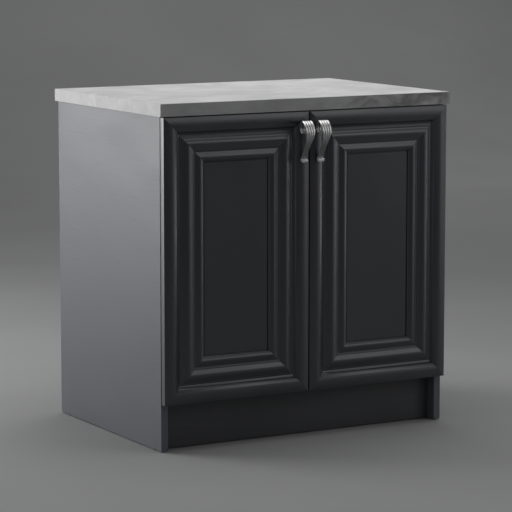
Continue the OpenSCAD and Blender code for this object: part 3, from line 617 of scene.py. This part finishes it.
def half_width(z):
    """Half the band's width at a height below its top."""
    zs = [-120, -91, -84, -61, -49, -37, -26, -14, 10]
    ws = [7.9, 7.9, 7.4, 7.6, 8.6, 10.7, 12.9, 13.8, 13.8]
    return float(np.interp(z, zs, ws))


def rib_section(hw, full=1.0):
    """Points (w, n, recess) round the band: four round ribs on its outer face,
    four shallower ones inside."""
    pitch = 2 * hw / 4.10
    a = 0.55 * pitch
    c0 = math.degrees(math.acos(0.5 * pitch / a))
    out = []
    bo, bi = 1.75 * full, 1.30 * full
    seg = 9
    for k in range(4):
        lo = 180.0 if k == 0 else 180 - c0
        hi = 0.0 if k == 3 else c0
        for i in range(seg + 1 if k == 3 else seg):
            th = math.radians(lo + (hi - lo) * i / seg)
            v = math.cos(th)
            groove = max(0.0, (abs(v) - 0.60) / 0.32) if (k not in (0, 3) or (k == 0 and v > 0) or (k == 3 and v < 0)) else 0.0
            out.append(((k - 1.5) * pitch + a * v, bo * math.sin(th), min(1.0, groove)))
    for k in (3, 2, 1, 0):
        lo = 0.0 if k == 3 else -c0
        hi = -180.0 if k == 0 else -180 + c0
        for i in range(1 if k == 3 else 0, seg):
            th = math.radians(lo + (hi - lo) * i / seg)
            v = math.cos(th)
            groove = max(0.0, (abs(v) - 0.60) / 0.32) if (k not in (0, 3) or (k == 0 and v > 0) or (k == 3 and v < 0)) else 0.0
            out.append(((k - 1.5) * pitch + a * v, bi * math.sin(th), min(1.0, 0.25 + 0.75 * groove)))
    return out


def build_pull(side):
    m = -1 if side == "left" else 1
    line = spline(PULL_PTS, 10)
    # both ends run on a little and round off
    d0 = (line[0] - line[1]) / np.linalg.norm(line[0] - line[1])
    d1 = (line[-1] - line[-2]) / np.linalg.norm(line[-1] - line[-2])
    caps = [(math.sin(math.radians(a)) * 1.6, math.cos(math.radians(a))) for a in (28, 50, 68, 80)]
    pts = [line[0] + d0 * e for e, _ in reversed(caps)] + list(line) + [line[-1] + d1 * e for e, _ in caps]
    full = [f for _, f in reversed(caps)] + [1.0] * len(line) + [f for _, f in caps]
    pts = np.array(pts)
    tang = np.gradient(pts, axis=0)
    tang /= np.linalg.norm(tang, axis=1)[:, None]
    bm = bmesh.new()
    lay = bm.verts.layers.float.new("recess")
    # layer for painted shade down the shaft and inside the curl
    shade_layer = bm.verts.layers.float.new("painted_shade")
    # layer for the painted highlight on the foot roll and the curl's end
    highlight_layer = bm.verts.layers.float.new("painted_highlight")
    rings = []
    for p, d, f in zip(pts, tang, full):
        nx, nz = d[1], -d[0]           # outer side of the band: away from the door at the front
        hw = half_width(p[1]) - (1 - f) * 1.5
        sec = rib_section(hw, max(f, 0.12))
        # painted shade down the shaft, darkest on its lower part, none on the foot or the top of the arch
        tone = float(np.interp(p[1], [-94, -90, -84, -62, -46, -32, -22], [0, 0.35, 0.72, 0.68, 0.38, 0.1, 0])) if f == 1.0 and p[0] > 8.9 else 0.0
        # painted highlight on the foot roll and the end of the curl; painted shade inside the curl
        curl = p[0] < 30 and -40 < p[1] < -2 and not (p[0] > 20 and p[1] > -20)
        bright = float(np.interp(p[1], [-95, -90], [1, 0]))
        if curl:
            bright = float(np.interp(p[1], [-24, -19], [1, 0]))
            tone = float(np.interp(p[1], [-22, -17, -5, -2], [0, 0.95, 0.95, 0]))
        ring = []
        for w, n, rec in sec:
            s, z = p[0] + nx * n * -1, p[1] + nz * n * -1
            v = bm.verts.new(P(m * (PULL_X + w), DC - s, PULL_TOP + z))
            v[lay] = rec
            v[shade_layer] = tone
            v[highlight_layer] = bright * (1 - 0.3 * rec)
            ring.append(v)
        rings.append(ring)
    n = len(rings[0])
    for a, b in zip(rings, rings[1:]):
        for i in range(n):
            bm.faces.new((a[i], a[(i + 1) % n], b[(i + 1) % n], b[i]))
    for r in (rings[0], rings[-1]):
        c = bm.verts.new(sum((v.co for v in r), Vector()) / n)
        c[lay] = 0.3
        for i in range(n):
            bm.faces.new((r[i], r[(i + 1) % n], c))
    # posts with a small collar at the door
    prof = [(-1.1, 5.0), (0.5, 5.15), (1.0, 5.0), (1.5, 4.5), (2.2, 4.25)]
    for zc, reach in ((-96.5, 7.4), (-17.0, 10.6)):
        seg = 48
        rr = []
        for s, r in prof + [(reach - 0.8, 4.1), (reach, 3.3)]:
            ring = []
            for i in range(seg):
                a = 2 * math.pi * i / seg
                v = bm.verts.new(P(m * (PULL_X + r * math.cos(a)), DC - s, PULL_TOP + zc + r * math.sin(a)))
                v[lay] = 0.75 if s < 0.4 or 1.2 < s < 2.6 else 0.35
                ring.append(v)
            rr.append(ring)
        for a, b in zip(rr, rr[1:]):
            for i in range(seg):
                bm.faces.new((a[i], a[(i + 1) % seg], b[(i + 1) % seg], b[i]))
        bm.faces.new(rr[0])
        bm.faces.new(list(reversed(rr[-1])))
    bmesh.ops.recalc_face_normals(bm, faces=bm.faces)
    for f in bm.faces:
        f.smooth = True
    for e in bm.edges:
        if len(e.link_faces) == 2 and e.calc_face_angle(0) > math.radians(62):
            e.smooth = False
    me = bpy.data.meshes.new(side + "_scroll_pull")
    bm.to_mesh(me)
    bm.free()
    ob = bpy.data.objects.new(side + "_scroll_pull", me)
    scene.collection.objects.link(ob)
    me.materials.append(MAT["pewter"])
    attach(ob, side + "_door")
    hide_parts(side + "_pull")


for side in ("left", "right"):
    build_pull(side)

# ------------------------------------------------------------ stage and light


def stage():
    """Plain pale floor that sweeps up into a plain backdrop."""
    bm = bmesh.new()
    prof = ([(-12.0, 0.0), (5.4, 0.0)] + [(5.4 + 3.1 * math.sin(math.radians(a)), 3.1 - 3.1 * math.cos(math.radians(a))) for a in range(5, 91, 5)]
            + [(8.5, 8.5)])
    rows = [[bm.verts.new((x, y, z)) for y, z in prof] for x in (-12.0, 12.0)]
    for i in range(len(prof) - 1):
        bm.faces.new((rows[0][i], rows[1][i], rows[1][i + 1], rows[0][i + 1]))
    for f in bm.faces:
        f.smooth = True
    me = bpy.data.meshes.new("studio_floor")
    bm.to_mesh(me)
    bm.free()
    ob = bpy.data.objects.new("studio_floor", me)
    scene.collection.objects.link(ob)
    g = Graph("pale_floor")
    cloud = g.noise(1.3, 3, 0.5)
    g.set(Base_Color=g.mix(g.span(cloud, 0.3, 0.7), (0.33, 0.33, 0.33), (0.355, 0.355, 0.355)), Roughness=0.85, Specular_IOR_Level=0.25)
    me.materials.append(g.m)


stage()


def area(name, loc, look, size, power, color=(1, 1, 1), spread=180):
    d = bpy.data.lights.new(name, "AREA")
    d.shape = "RECTANGLE"
    d.size, d.size_y = size
    d.energy = power
    d.color = color
    d.spread = math.radians(spread)
    o = bpy.data.objects.new(name, d)
    o.location = loc
    o.rotation_euler = (Vector(look) - Vector(loc)).to_track_quat("-Z", "Y").to_euler()
    o.visible_camera = False
    scene.collection.objects.link(o)
    return o


area("key_back_left", (-2.3, 2.2, 1.30), (-0.4, 0, 0.6), (1.9, 1.8), 62)
area("key_low", (-2.3, 2.2, 0.50), (-0.4, 0, 0.5), (1.9, 0.9), 14)
area("left_fill", (-2.8, -1.0, 0.50), (0, -0.27, 0.50), (1.3, 0.9), 2.6)
area("right_side", (2.80, -0.53, 0.45), (0, -0.27, 0.45), (0.46, 1.0), 3.6)
area("right_mid", (2.2, -1.9, 0.80), (0, -0.27, 0.45), (0.9, 1.3), 3.4)
area("front_right", (1.60, -2.60, 2.05), (0, -0.27, 0.50), (1.5, 1.6), 8.0)
area("top_soft", (0.22, 0.15, 2.35), (0.1, 0.05, 0.8), (1.9, 1.7), 22.5)
area("backdrop", (3.9, 4.3, 4.2), (3.8, 6.6, 0.0), (5.5, 2.5), 74)

world = bpy.data.worlds.new("studio")
world.use_nodes = True
bg = next(n for n in world.node_tree.nodes if n.type == "BACKGROUND")
bg.inputs[0].default_value = (0.50, 0.51, 0.53, 1)
bg.inputs[1].default_value = 0.26
scene.world = world
scene.view_settings.view_transform = "Standard"
scene.view_settings.look = "None"
